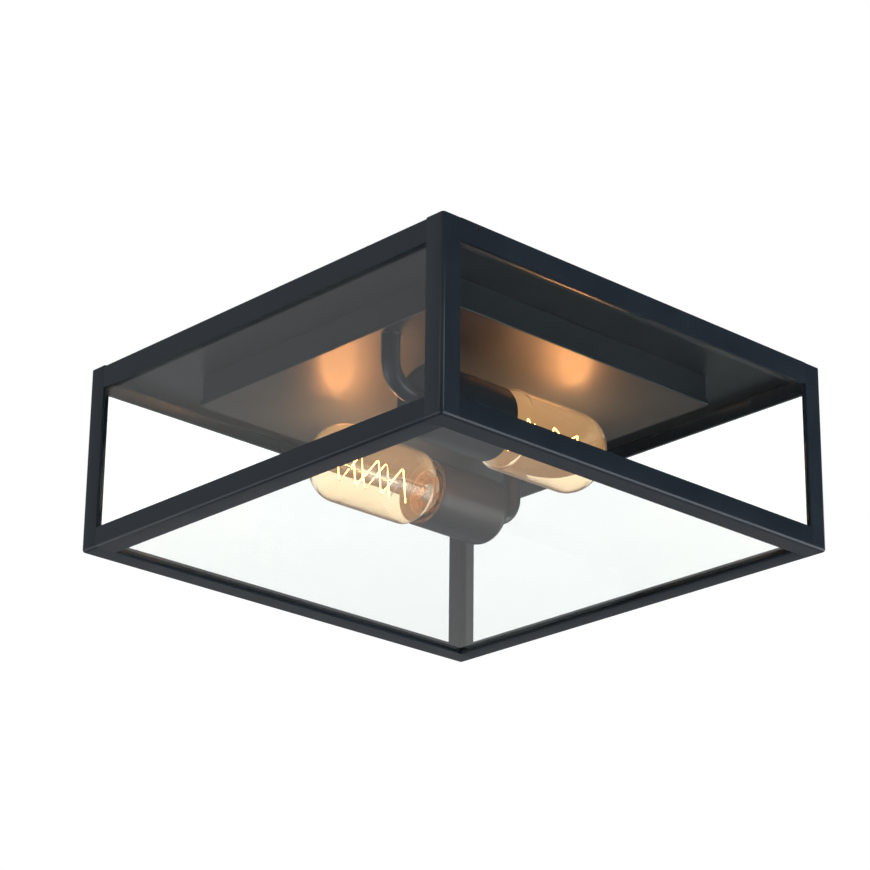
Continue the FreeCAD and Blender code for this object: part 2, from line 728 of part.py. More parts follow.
for name, make in (("lamp_tube", lamp_tube), ("holder_cup", holder_cup), ("holder_insert", holder_insert),
                   ("screw_shell", screw_shell), ("contact_tongue", contact_tongue),
                   ("bulb_contact", contact_tip), ("bulb_insulator", insulator), ("bulb_cap", cap),
                   ("bulb_glass", bulb_glass), ("bulb_stem", stem), ("bulb_filament", filament)):
    shape = make()
    PARTS[name + "_a"] = shape
    PARTS[name + "_b"] = turned(shape, 180, lamp_mid_x)

nut = ring_nut()
PARTS["tube_nuts"] = solids(nut, turned(nut, 180, lamp_mid_x))
PARTS["leads_live"] = solids(leads(-1, 1), leads(1, 1))
PARTS["leads_neutral"] = solids(leads(-1, -1), leads(1, -1))

for name, shape in PARTS.items():
    shape.exportStep("parts/%s.step" % name)
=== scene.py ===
"""Looks of a square porch ceiling lantern, laid out as a Blender add-on.

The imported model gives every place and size. Each operator makes one piece, or a group of like pieces,
and hands it to the body that carries it.
"""
import json
import math

import bmesh
import bpy
from bpy.props import FloatProperty, FloatVectorProperty, IntProperty, PointerProperty
from mathutils import Matrix, Vector

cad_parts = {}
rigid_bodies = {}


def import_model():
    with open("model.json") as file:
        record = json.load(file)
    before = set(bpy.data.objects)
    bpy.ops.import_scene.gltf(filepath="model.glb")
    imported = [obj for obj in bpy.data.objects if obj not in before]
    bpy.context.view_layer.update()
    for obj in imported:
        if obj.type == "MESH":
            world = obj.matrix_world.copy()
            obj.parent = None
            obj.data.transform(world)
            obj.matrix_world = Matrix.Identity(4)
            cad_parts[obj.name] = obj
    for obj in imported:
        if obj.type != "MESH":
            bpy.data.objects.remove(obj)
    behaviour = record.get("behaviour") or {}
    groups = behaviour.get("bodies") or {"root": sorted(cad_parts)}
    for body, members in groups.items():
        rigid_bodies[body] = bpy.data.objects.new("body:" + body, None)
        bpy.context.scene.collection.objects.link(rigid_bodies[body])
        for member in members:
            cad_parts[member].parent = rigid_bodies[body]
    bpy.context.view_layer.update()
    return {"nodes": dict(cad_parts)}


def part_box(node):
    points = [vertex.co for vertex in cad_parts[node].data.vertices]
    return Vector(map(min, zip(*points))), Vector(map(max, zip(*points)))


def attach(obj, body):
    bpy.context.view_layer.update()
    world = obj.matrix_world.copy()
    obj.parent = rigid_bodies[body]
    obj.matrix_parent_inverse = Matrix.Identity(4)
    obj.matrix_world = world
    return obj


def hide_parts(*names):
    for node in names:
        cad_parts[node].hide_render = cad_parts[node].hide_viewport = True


bl_info = {
    "name": "Porch Ceiling Lantern",
    "version": (1, 0, 0),
    "blender": (4, 5, 0),
    "location": "3D View > Sidebar > Lantern",
    "description": "Builds the painted cage, the panes and the glowing lamps of a porch ceiling lantern",
    "category": "Object",
}

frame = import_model()


def low(node):
    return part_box(node)[0]


def high(node):
    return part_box(node)[1]


def middle(node):
    a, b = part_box(node)
    return (a + b) / 2


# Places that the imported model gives, in metres. Lamp A lies along +X on the -Y side, and lamp B is
# lamp A turned half round about the upright line at (PAIR_X, 0). u runs along a lamp from PAIR_X.
PAIR_X = (low("holder_cup_a").x + high("holder_cup_b").x) / 2
LAMP_Y = middle("holder_cup_a").y
LAMP_Z = middle("holder_cup_a").z
CUP_BACK = low("holder_cup_a").x - PAIR_X
CUP_MOUTH = high("holder_cup_a").x - PAIR_X
CUP_R = (high("holder_cup_a").z - low("holder_cup_a").z) / 2
COVER_UNDER = low("cover_plate").z
BULB_START = low("bulb_contact_a").x - PAIR_X
BULB_END = high("bulb_glass_a").x - PAIR_X
BULB_R = (high("bulb_glass_a").z - low("bulb_glass_a").z) / 2
CAP_FROM = low("bulb_cap_a").x - PAIR_X
CAP_TO = high("bulb_cap_a").x - PAIR_X
CAP_R = (high("bulb_cap_a").z - low("bulb_cap_a").z) / 2
SHELL_FROM = low("screw_shell_a").x - PAIR_X
SHELL_TO = high("screw_shell_a").x - PAIR_X
SHELL_R = (high("screw_shell_a").z - low("screw_shell_a").z) / 2
TUBE_U = (low("lamp_tube_a").x - PAIR_X) + (high("lamp_tube_a").y - low("lamp_tube_a").y) / 2
TUBE_R = (high("lamp_tube_a").y - low("lamp_tube_a").y) / 2
TUBE_END = high("lamp_tube_a").x - PAIR_X

# Where the cage's pieces are welded edge to edge: the ends of the posts' legs and of the flanges.
POST_END = high("post_near").x
FLANGE_END = high("bottom_bar_near_right").y


# Small sizes that only the eye needs.
FIT = 0.00005               # air round a tube or a shell in its hole
SHELL_SHEET = 0.00028
SHELL_GROOVE = 0.00022      # depth of the screw shell's thread
THREAD_RUN_OUT = 0.002      # length over which a thread fades at its ends
CAP_CONE = 0.0016           # from a cap's closed end to its full width
CAP_SHEET = 0.0004
SCREW_SOFT = 0.0001         # rounding of the cover screws' edges
PINCH_SOFT = 0.00008        # rounding of the pinch screws' edges


# ---------------------------------------------------------------- sizes and colours a user would change
class LanternShapes(bpy.types.PropertyGroup):
    edge_soft: FloatProperty(name="Edge softness", description="Rounding of the cage's cut edges",
                             default=0.0004, min=0.0, unit="LENGTH")
    sheet_soft: FloatProperty(name="Sheet softness", description="Rounding of the thin sheet edges",
                              default=0.0002, min=0.0, unit="LENGTH")
    pane_soft: FloatProperty(name="Pane arris", description="Ground edge of the panes",
                             default=0.0004, min=0.0, unit="LENGTH")
    cup_wall: FloatProperty(name="Cup wall", description="Sheet of the drawn lamp cups",
                            default=0.0012, min=0.0002, unit="LENGTH")
    cup_round: FloatProperty(name="Cup back rounding", description="Radius at the closed end of a cup",
                             default=0.007, min=0.001, unit="LENGTH")
    tube_bend: FloatProperty(name="Tube bend", description="Bend radius of the lamp tubes",
                             default=0.0155, min=0.005, unit="LENGTH")
    tube_weld: FloatProperty(name="Tube weld", description="Size of the weld where a tube meets the cover",
                             default=0.0011, min=0.0002, unit="LENGTH")
    around: IntProperty(name="Facets round", description="Facets round the turned pieces", default=96, min=24)
    thread_pitch: FloatProperty(name="Thread pitch", description="Pitch of the lamp caps' rolled thread",
                                default=0.0036, min=0.001, unit="LENGTH")
    thread_depth: FloatProperty(name="Thread depth", description="Crest to root of the rolled thread",
                                default=0.0010, min=0.0001, unit="LENGTH")


class LanternLamps(bpy.types.PropertyGroup):
    glass_wall: FloatProperty(name="Bulb wall", description="Wall of the bulb's glass", default=0.0010,
                              min=0.0002, unit="LENGTH")
    neck_r: FloatProperty(name="Neck radius", description="Radius of the glass inside the cap", default=0.0127,
                          min=0.005, unit="LENGTH")
    shoulder: FloatProperty(name="Shoulder", description="Distance from the contact to the full width",
                            default=0.040, min=0.03, unit="LENGTH")
    dome: FloatProperty(name="Dome", description="Distance from the contact to the start of the dome",
                        default=0.091, min=0.06, unit="LENGTH")
    wire_from: FloatProperty(name="Wire start", description="First corner of the glowing wire, from the contact",
                             default=0.0428, unit="LENGTH")
    wire_step: FloatProperty(name="Wire step", description="Distance along the bulb from corner to corner",
                             default=0.00975, unit="LENGTH")
    wire_corners: IntProperty(name="Wire corners", description="Corners in each of the wire's two rows",
                              default=6, min=2)
    wire_reach: FloatProperty(name="Wire reach", description="Reach of the zigzag to each side of the rod",
                              default=0.0095, unit="LENGTH")
    wire_rows: FloatProperty(name="Wire rows", description="Distance of each row from the rod", default=0.005,
                             unit="LENGTH")
    wire_tilt: FloatProperty(name="Wire tilt", description="Turn of the zigzag about the bulb's axis",
                             default=math.radians(64.0), subtype="ANGLE")
    wire_r: FloatProperty(name="Wire radius", description="Radius of the glowing wire", default=0.00038,
                          unit="LENGTH")
    hook_r: FloatProperty(name="Hook radius", description="Radius of the hooks' wire", default=0.00025,
                          unit="LENGTH")
    glow: FloatProperty(name="Glow", description="Strength of the glowing wire", default=14.0, min=0.0)
    # Strength of the glow painted on the bulbs' glass: emission that is painted light in place of the wires' light
    # scattered in the glass.
    painted_glow_strength: FloatProperty(name="Veil", description="Strength of the warm veil over the lit bulbs", default=0.12,
                        min=0.0)
    warmth: FloatProperty(name="Warm light", description="Light that each lamp throws, in watts", default=0.68,
                          min=0.0)
    wire_lights: IntProperty(name="Lights per wire", description="Points of light along each wire", default=5,
                             min=1)


class LanternColours(bpy.types.PropertyGroup):
    cage: FloatVectorProperty(name="Cage paint", description="Satin paint of the cage", subtype="COLOR", size=3,
                              default=(0.012, 0.020, 0.030), min=0.0, max=1.0)
    canopy: FloatVectorProperty(name="Canopy paint", description="Satin paint of the canopy", subtype="COLOR",
                                size=3, default=(0.016, 0.022, 0.029), min=0.0, max=1.0)
    lamp: FloatVectorProperty(name="Lamp paint", description="Satin paint of cups and tubes", subtype="COLOR",
                              size=3, default=(0.013, 0.019, 0.027), min=0.0, max=1.0)
    pane: FloatVectorProperty(name="Pane tint", description="Colour that the panes' depth takes on",
                              subtype="COLOR", size=3, default=(0.45, 0.90, 0.74), min=0.0, max=1.0)
    amber: FloatVectorProperty(name="Bulb tint", description="Tint of the bulbs' glass", subtype="COLOR", size=3,
                               default=(1.0, 0.92, 0.76), min=0.0, max=1.0)
    wire: FloatVectorProperty(name="Wire glow", description="Colour of the glowing wire", subtype="COLOR", size=3,
                              default=(1.0, 0.43, 0.12), min=0.0, max=1.0)
    lamplight: FloatVectorProperty(name="Lamplight", description="Colour of the light that the wires throw",
                                   subtype="COLOR", size=3, default=(1.0, 0.45, 0.19), min=0.0, max=1.0)
    # Colour of the glow painted on the bulbs' glass: painted light in place of the wires' light scattered in the
    # glass.
    painted_glow_colour: FloatVectorProperty(name="Bulb glow", description="Warm veil over the lit bulbs", subtype="COLOR",
                                   size=3, default=(1.0, 0.56, 0.27), min=0.0, max=1.0)


class LanternStage(bpy.types.PropertyGroup):
    fill: FloatProperty(name="Room light", description="Soft light from all round", default=0.50, min=0.0)
    key: FloatProperty(name="Key light", description="Large soft lamp on the left, in watts", default=9.0,
                       min=0.0)
    rim: FloatProperty(name="Rim light", description="Soft lamp on the right, in watts", default=27.0, min=0.0)
    lift: FloatProperty(name="Floor lift", description="Soft lamp below, in watts", default=5.2, min=0.0)
    mirror_left: FloatProperty(name="Left in mirrors", description="Brightness that glass mirrors on the left",
                               default=0.50, min=0.0)
    mirror_right: FloatProperty(name="Right in mirrors", description="Brightness that glass mirrors on the right",
                                default=0.04, min=0.0)
    through_glass: FloatProperty(name="Backdrop through glass", description="White backdrop as seen through panes",
                                 default=1.50, min=0.0)
    floor_mirror: FloatProperty(name="Floor in mirrors", description="Brightness of the floor in mirrors",
                                default=0.45, min=0.0)
    floor_below: FloatProperty(name="Floor straight below", description="Brightness in mirrors right below",
                               default=0.02, min=0.0)
    floor_right: FloatProperty(name="Floor on the right", description="Brightness in mirrors on the right",
                               default=5.0, min=0.0)
    floor_left: FloatProperty(name="Floor on the left", description="Brightness in mirrors on the left",
                              default=2.0, min=0.0)
    lens: FloatProperty(name="Lens", description="Focal length on a 36 mm sensor, in mm", default=121.23,
                        min=10.0)


def shapes():
    return bpy.context.scene.lantern_shapes


def lamps():
    return bpy.context.scene.lantern_lamps


def colours():
    return bpy.context.scene.lantern_colours


def stage():
    return bpy.context.scene.lantern_stage


class Graph:
    """Short ways to add and join the nodes of a tree."""

    def __init__(self, tree):
        self.nodes = tree.nodes
        self.links = tree.links
        self.nodes.clear()

    def add(self, kind, **values):
        node = self.nodes.new(kind)
        for key, value in values.items():
            setattr(node, key, value)
        return node

    def link(self, a, b):
        self.links.new(a, b)

    def feed(self, socket, value):
        """Joins a socket to another, or sets its plain value."""
        if isinstance(value, bpy.types.NodeSocket):
            self.link(value, socket)
        else:
            socket.default_value = value

    def calc(self, operation, *values):
        node = self.add("ShaderNodeMath", operation=operation)
        for socket, value in zip(node.inputs, values):
            self.feed(socket, value)
        return node.outputs[0]

    def either(self, factor, without, with_it):
        """One shader or another, by a factor."""
        mix = self.add("ShaderNodeMixShader")
        for socket, source in zip(mix.inputs, (factor, without, with_it)):
            self.link(source, socket)
        return mix.outputs[0]


# ---------------------------------------------------------------- finishes
class Finish(Graph):
    """A material with one main shader."""

    def __init__(self, name):
        self.mat = bpy.data.materials.new(name)
        self.mat.use_nodes = True
        super().__init__(self.mat.node_tree)
        self.out = self.add("ShaderNodeOutputMaterial")
        self.main = self.add("ShaderNodeBsdfPrincipled")
        self.link(self.main.outputs[0], self.out.inputs["Surface"])
        self.place = self.add("ShaderNodeTexCoord")

    def set(self, **values):
        for key, value in values.items():
            self.main.inputs[key.replace("_", " ")].default_value = value

    def noise(self, scale, detail=3.0, rough=0.55, stretch=(1.0, 1.0, 1.0)):
        mapping = self.add("ShaderNodeMapping")
        mapping.inputs["Scale"].default_value = stretch
        tex = self.add("ShaderNodeTexNoise")
        tex.inputs["Scale"].default_value = scale
        tex.inputs["Detail"].default_value = detail
        tex.inputs["Roughness"].default_value = rough
        self.link(self.place.outputs["Object"], mapping.inputs["Vector"])
        self.link(mapping.outputs["Vector"], tex.inputs["Vector"])
        return tex.outputs["Fac"]

    def span(self, source, low_out, high_out, low_in=0.3, high_in=0.7):
        node = self.add("ShaderNodeMapRange")
        node.inputs["From Min"].default_value = low_in
        node.inputs["From Max"].default_value = high_in
        node.inputs["To Min"].default_value = low_out
        node.inputs["To Max"].default_value = high_out
        self.link(source, node.inputs["Value"])
        return node.outputs["Result"]

    def blend(self, factor, first, second):
        node = self.add("ShaderNodeMix", data_type="RGBA")
        self.link(factor, node.inputs["Factor"])
        for socket, colour in ((node.inputs[6], first), (node.inputs[7], second)):
            plain = not isinstance(colour, bpy.types.NodeSocket)
            self.feed(socket, (*colour[:3], 1.0) if plain else colour)
        return node.outputs[2]

    def bump(self, height, strength, distance):
        node = self.add("ShaderNodeBump")
        node.inputs["Strength"].default_value = strength
        node.inputs["Distance"].default_value = distance
        self.link(height, node.inputs["Height"])
        self.link(node.outputs["Normal"], self.main.inputs["Normal"])

    def lamps_pass(self, tint):
        """Lets lamplight, soft light and mirrored light go straight through the glass."""
        ray = self.add("ShaderNodeLightPath").outputs
        clear = self.add("ShaderNodeBsdfTransparent")
        clear.inputs["Color"].default_value = (*tint, 1.0)
        glass, clear = self.main.outputs[0], clear.outputs[0]
        mirrored = self.either(ray["Is Transmission Ray"], clear, glass)
        last = self.either(ray["Is Shadow Ray"], glass, clear)
        last = self.either(ray["Is Diffuse Ray"], last, clear)
        last = self.either(ray["Is Glossy Ray"], last, mirrored)
        self.link(last, self.out.inputs["Surface"])


def scaled(colour, k):
    return tuple(min(1.0, c * k) for c in colour)


def powder_coat(name, colour, rough=0.42, shine=0.5, peel=0.10):
    """Satin powder coat: faint mottling, uneven gloss and a fine orange peel."""
    f = Finish(name)
    broad = f.noise(34.0, 4.0, 0.6)
    fine = f.noise(900.0, 2.0)
    tone = f.blend(f.span(broad, 0.0, 1.0), scaled(colour, 0.90), scaled(colour, 1.10))
    specks = f.span(f.noise(2600.0, 1.0), 0.0, 1.0, 0.68, 0.76)
    f.link(f.blend(specks, tone, scaled(colour, 1.7)), f.main.inputs["Base Color"])
    f.link(f.span(broad, rough - 0.04, rough + 0.05), f.main.inputs["Roughness"])
    f.main.inputs["Specular IOR Level"].default_value = shine
    f.bump(fine, peel, 0.00012)
    return f.mat


def float_glass(name, tint, density):
    """Clear float glass that turns green along its edges, with the faintest film on its face."""
    f = Finish(name)
    f.set(Base_Color=(0.985, 0.995, 0.990, 1.0), IOR=1.52, Transmission_Weight=1.0)
    film = f.noise(16.0, 5.0, 0.6)
    f.link(f.span(film, 0.0, 0.012, 0.45, 0.75), f.main.inputs["Roughness"])
    depth = f.add("ShaderNodeVolumeAbsorption")
    depth.inputs["Color"].default_value = (*tint, 1.0)
    depth.inputs["Density"].default_value = density
    f.link(depth.outputs[0], f.out.inputs["Volume"])
    f.lamps_pass((0.93, 0.95, 0.94))
    return f.mat


def blown_glass(name, tint, glow=(0.0, 0.0, 0.0), painted_glow_strength=0.0):
    """Thin blown glass, slightly wavy, with a warm glow painted on by emission: painted light in place of the
    wires' light scattered in the lit glass.
    """
    f = Finish(name)
    # The emission on the glass is painted light: a warm glow in place of the wires' light scattered in the glass.
    f.set(Base_Color=(*tint, 1.0), IOR=1.50, Transmission_Weight=1.0, Emission_Color=(*glow, 1.0),
          Emission_Strength=painted_glow_strength)
    f.link(f.span(f.noise(60.0, 3.0), 0.0, 0.03), f.main.inputs["Roughness"])
    f.lamps_pass(tuple(0.5 + 0.5 * c for c in tint))
    return f.mat


def glowing(name, colour, strength):
    """Hot wire: brightest along its coils."""
    f = Finish(name)
    coil = f.noise(2400.0, 1.0)
    f.link(f.blend(f.span(coil, 0.0, 1.0), (0.9, 0.55, 0.25), (1.0, 0.75, 0.45)), f.main.inputs["Base Color"])
    f.set(Roughness=0.5, Emission_Color=(*colour, 1.0), Emission_Strength=strength)
    return f.mat


def metal(name, first, second, rough, scale=420.0, stretch=(1.0, 1.0, 1.0), bump=0.06):
    """Bare metal with a fine uneven grain."""
    f = Finish(name)
    grain = f.noise(scale, 4.0, 0.6, stretch)
    f.link(f.blend(f.span(grain, 0.0, 1.0), first, second), f.main.inputs["Base Color"])
    f.link(f.span(grain, rough - 0.06, rough + 0.08), f.main.inputs["Roughness"])
    f.set(Metallic=1.0)
    f.bump(grain, bump, 0.0001)
    return f.mat


def moulded(name, colour, rough, scale=1400.0, bump=0.08):
    """Moulded plastic or rubber with a fine matt skin."""
    f = Finish(name)
    skin = f.noise(scale, 3.0)
    broad = f.noise(60.0, 2.0)
    f.link(f.blend(f.span(broad, 0.0, 1.0), scaled(colour, 0.92), scaled(colour, 1.08)),
           f.main.inputs["Base Color"])
    f.link(f.span(skin, rough - 0.05, rough + 0.07), f.main.inputs["Roughness"])
    f.bump(skin, bump, 0.0001)
    return f.mat


MADE = {}


def finish(name):
    """The finish with that name, made when it is first asked for."""
    if name in MADE:
        return MADE[name]
    c = colours()
    recipes = {
        "cage paint": lambda: powder_coat("cage paint", tuple(c.cage), 0.42, 0.42),
        "canopy paint": lambda: powder_coat("canopy paint", tuple(c.canopy), 0.39, 0.50),
        "lamp paint": lambda: powder_coat("lamp paint", tuple(c.lamp), 0.34, 0.45),
        "black screw": lambda: powder_coat("black screw", (0.02, 0.022, 0.026), 0.38, 0.5),
        "side pane": lambda: float_glass("side pane", tuple(c.pane), 9.0),
        "bottom pane": lambda: float_glass("bottom pane", tuple(c.pane), 9.0),
        # The bulb glass carries a painted glow: emission that stands in for the wires' light scattered in the
        # glass.
        "bulb glass": lambda: blown_glass("bulb glass", tuple(c.amber), tuple(c.painted_glow_colour), lamps().painted_glow_strength),
        "stem glass": lambda: blown_glass("stem glass", (0.98, 0.97, 0.94)),
        "glowing wire": lambda: glowing("glowing wire", tuple(c.wire), lamps().glow),
        "zinc": lambda: metal("zinc", (0.50, 0.50, 0.50), (0.72, 0.72, 0.70), 0.34),
        "shell brass": lambda: metal("shell brass", (0.70, 0.52, 0.26), (0.86, 0.68, 0.40), 0.30),
        "contact brass": lambda: metal("contact brass", (0.74, 0.52, 0.22), (0.84, 0.64, 0.32), 0.26),
        "solder": lambda: metal("solder", (0.52, 0.52, 0.50), (0.66, 0.66, 0.64), 0.42),
        "black enamel": lambda: moulded("black enamel", (0.012, 0.012, 0.014), 0.16, 300.0, 0.03),
        "holder plastic": lambda: moulded("holder plastic", (0.016, 0.016, 0.016), 0.46),
        "bushing rubber": lambda: moulded("bushing rubber", (0.018, 0.018, 0.018), 0.60),
        "block plastic": lambda: moulded("block plastic", (0.70, 0.68, 0.60), 0.40),
        "black lead": lambda: moulded("black lead", (0.02, 0.02, 0.02), 0.45, 700.0, 0.05),
        "white lead": lambda: moulded("white lead", (0.72, 0.72, 0.69), 0.45, 700.0, 0.05),
    }
    MADE[name] = recipes[name]()
    return MADE[name]


# ---------------------------------------------------------------- meshes
def smooth(mesh, angle=38.0):
    for p in mesh.polygons:
        p.use_smooth = True
    mesh.set_sharp_from_angle(angle=math.radians(angle))
    return mesh


def evaluated(ob):
    """The object's mesh with its modifiers, and the object taken away."""
    bpy.context.view_layer.update()
    mesh = bpy.data.meshes.new_from_object(ob.evaluated_get(bpy.context.evaluated_depsgraph_get()))
    old = ob.data
    bpy.data.objects.remove(ob)
    if old is not None and old.users == 0:
        bpy.data.meshes.remove(old)
    return mesh


def loose(name, mesh):
    ob = bpy.data.objects.new(name, mesh)
    bpy.context.scene.collection.objects.link(ob)
    return ob


def cad_mesh(node):
    """A copy of a CAD node's mesh, merged, with its flat faces whole again."""
    bm = bmesh.new()
    bm.from_mesh(frame["nodes"][node].data)
    bmesh.ops.remove_doubles(bm, verts=bm.verts, dist=3e-6)
    bmesh.ops.dissolve_limit(bm, angle_limit=math.radians(0.4), verts=bm.verts, edges=bm.edges)
    bmesh.ops.recalc_face_normals(bm, faces=bm.faces)
    mesh = bpy.data.meshes.new(node)
    bm.to_mesh(mesh)
    bm.free()
    return mesh


def softened(mesh, width, angle=32.0, welds=()):
    """The mesh with its sharp edges rounded by width, all but those in the weld planes (axis, distance)."""
    bm = bmesh.new()
    bm.from_mesh(mesh)
    weight = bm.edges.layers.float.new("bevel_weight_edge")
    for e in bm.edges:
        if len(e.link_faces) != 2 or e.calc_face_angle() < math.radians(angle):
            continue
        if not any(all(abs(abs(v.co[axis]) - abs(at)) < 0.0001 for v in e.verts) for axis, at in welds):
            e[weight] = 1.0
    bm.to_mesh(mesh)
    bm.free()
    ob = loose("soft", mesh)
    bevel = ob.modifiers.new("Soft edges", "BEVEL")
    bevel.width = width
    bevel.segments = 3
    bevel.limit_method = "WEIGHT"
    bevel.miter_outer = "MITER_ARC"
    return smooth(evaluated(ob), 80.0)


def flat_faces_flat(mesh):
    """The mesh with its large faces shaded flat, so that only the rounded edges turn."""
    ob = loose("even", mesh)
    even = ob.modifiers.new("Even shading", "WEIGHTED_NORMAL")
    even.mode = "FACE_AREA"
    even.weight = 50
    even.keep_sharp = True
    return evaluated(ob)


def turned_mesh(name, profile, around, ring=False, thread=None):
    """Solid of revolution about lamp A's axis from (u, radius) points, closed on itself with ring."""
    bm = bmesh.new()
    rings = []
    for u, r in profile:
        x = PAIR_X + u
        if r < 1e-7:
            rings.append([bm.verts.new((x, LAMP_Y, LAMP_Z))])
            continue
        row = []
        for i in range(around):
            a = 2 * math.pi * i / around
            q = r + thread(u, a) if thread else r
            row.append(bm.verts.new((x, LAMP_Y + q * math.cos(a), LAMP_Z + q * math.sin(a))))
        rings.append(row)
    pairs = list(zip(rings[:-1], rings[1:]))
    if ring:
        pairs.append((rings[-1], rings[0]))
    for a, b in pairs:
        for i in range(around):
            j = (i + 1) % around
            face = [a[i % len(a)], a[j % len(a)], b[j % len(b)], b[i % len(b)]]
            seen = []
            for v in face:
                if v not in seen:
                    seen.append(v)
            if len(seen) > 2:
                bm.faces.new(seen)
    bmesh.ops.recalc_face_normals(bm, faces=bm.faces)
    mesh = bpy.data.meshes.new(name)
    bm.to_mesh(mesh)
    bm.free()
    return smooth(mesh)


def arc(cu, cr, radius, start, end, steps):
    """(u, radius) points of an arc about (cu, cr), angles in degrees from +u."""
    out = []
    for i in range(steps + 1):
        a = math.radians(start + (end - start) * i / steps)
        out.append((cu + radius * math.cos(a), cr + radius * math.sin(a)))
    return out


# ---------------------------------------------------------------- node trees for what repeats or follows a rule
class Tree(Graph):
    """A Geometry Nodes tree with named inputs."""

    def __init__(self, name):
        self.tree = bpy.data.node_groups.new(name, "GeometryNodeTree")
        super().__init__(self.tree)
        self.ids = {}
        self.tree.interface.new_socket("Geometry", in_out="INPUT", socket_type="NodeSocketGeometry")
        self.tree.interface.new_socket("Geometry", in_out="OUTPUT", socket_type="NodeSocketGeometry")

    def ask(self, name, kind, value=None):
        item = self.tree.interface.new_socket(name, in_out="INPUT", socket_type="NodeSocket" + kind)
        if value is not None:
            item.default_value = value
        self.ids[name] = item.identifier

    def start(self):
        self.inp = self.add("NodeGroupInput")
        self.out = self.add("NodeGroupOutput")

    def close(self, geometry):
        """Realizes the instances, sets the finish and ends the tree."""
        real = self.add("GeometryNodeRealizeInstances")
        paint = self.add("GeometryNodeSetMaterial")
        self.link(geometry, real.inputs[0])
        self.link(real.outputs[0], paint.inputs["Geometry"])
        self.link(self.inp.outputs["Finish"], paint.inputs["Material"])
        self.link(paint.outputs[0], self.out.inputs[0])


TREES = {}


def run_tree(tree, mesh, **values):
    """The plain mesh that a tree makes from a mesh and its named inputs."""
    ob = loose("work", mesh)
    mod = ob.modifiers.new("Rule", "NODES")
    mod.node_group = tree.tree
    for name, value in values.items():
        mod[tree.ids[name.replace("_", " ")]] = value
    return evaluated(ob)


def turned_copies():
    """Copies of a mesh turned about an upright line: posts, bars, clips, cups and tubes."""
    if "copies" in TREES:
        return TREES["copies"]
    t = Tree("Turned copies")
    t.ask("Copies", "Int", 4)
    t.ask("First Turn", "Float", 0.0)
    t.ask("Turn Step", "Float", math.pi / 2)
    t.ask("Centre X", "Float", 0.0)
    t.ask("Finish", "Material")
    t.start()
    back = t.add("ShaderNodeCombineXYZ")
    t.link(t.calc("MULTIPLY", t.inp.outputs["Centre X"], -1.0), back.inputs["X"])
    home = t.add("GeometryNodeTransform")
    t.link(t.inp.outputs["Geometry"], home.inputs["Geometry"])
    t.link(back.outputs[0], home.inputs["Translation"])
    here = t.add("ShaderNodeCombineXYZ")
    t.link(t.inp.outputs["Centre X"], here.inputs["X"])
    points = t.add("GeometryNodePoints")
    t.link(t.inp.outputs["Copies"], points.inputs["Count"])
    t.link(here.outputs[0], points.inputs["Position"])
    index = t.add("GeometryNodeInputIndex")
    angle = t.calc("ADD", t.calc("MULTIPLY", index.outputs[0], t.inp.outputs["Turn Step"]),
                   t.inp.outputs["First Turn"])
    euler = t.add("ShaderNodeCombineXYZ")
    t.link(angle, euler.inputs["Z"])
    turn = t.add("FunctionNodeEulerToRotation")
    t.link(euler.outputs[0], turn.inputs[0])
    copies = t.add("GeometryNodeInstanceOnPoints")
    t.link(points.outputs[0], copies.inputs["Points"])
    t.link(home.outputs[0], copies.inputs["Instance"])
    t.link(turn.outputs[0], copies.inputs["Rotation"])
    t.close(copies.outputs[0])
    TREES["copies"] = t
    return t


def swept_tube():
    """A round tube along the input's edges, with bent corners."""
    if "tube" in TREES:
        return TREES["tube"]
    t = Tree("Swept tube")
    t.ask("Tube Radius", "Float", 0.005)
    t.ask("Bend Radius", "Float", 0.015)
    t.ask("Bend Steps", "Int", 20)
    t.ask("Facets", "Int", 40)
    t.ask("Finish", "Material")
    t.start()
    curve = t.add("GeometryNodeMeshToCurve")
    t.link(t.inp.outputs["Geometry"], curve.inputs[0])
    bend = t.add("GeometryNodeFilletCurve", mode="POLY")
    t.link(curve.outputs[0], bend.inputs["Curve"])
    t.link(t.inp.outputs["Bend Radius"], bend.inputs["Radius"])
    t.link(t.inp.outputs["Bend Steps"], bend.inputs["Count"])
    ring = t.add("GeometryNodeCurvePrimitiveCircle", mode="RADIUS")
    t.link(t.inp.outputs["Facets"], ring.inputs["Resolution"])
    t.link(t.inp.outputs["Tube Radius"], ring.inputs["Radius"])
    skin = t.add("GeometryNodeCurveToMesh")
    t.link(bend.outputs[0], skin.inputs["Curve"])
    t.link(ring.outputs[0], skin.inputs["Profile Curve"])
    skin.inputs["Fill Caps"].default_value = True
    t.close(skin.outputs[0])
    TREES["tube"] = t
    return t


def swept(points, edges, radius, bend, steps, facets, material):
    """A round bar along edges between points."""
    route = bpy.data.meshes.new("route")
    route.from_pydata(points, edges, [])
    return run_tree(swept_tube(), route, Tube_Radius=radius, Bend_Radius=bend, Bend_Steps=steps, Facets=facets,
                    Finish=finish(material))


def copies_of(name, mesh, material, count=1, first=0.0, step=math.pi / 2, centre=0.0):
    """An object with the mesh repeated round an upright line."""
    made = flat_faces_flat(run_tree(turned_copies(), mesh, Copies=count, First_Turn=first, Turn_Step=step,
                                    Centre_X=centre, Finish=finish(material)))
    made.name = name
    return loose(name, made)


def hand_over(ob, body, slot, *nodes):
    """Gives a finished piece to its body, in place of the CAD nodes that it stands for."""
    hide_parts(*nodes)
    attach(ob, body)


def lamp_pair(name, mesh, material, slot, node):
    """Lamp A's piece and lamp B's, as one object on the canopy."""
    ob = copies_of(name, mesh, material, 2, 0.0, math.pi, PAIR_X)
    hand_over(ob, "canopy", slot, node + "_a", node + "_b")


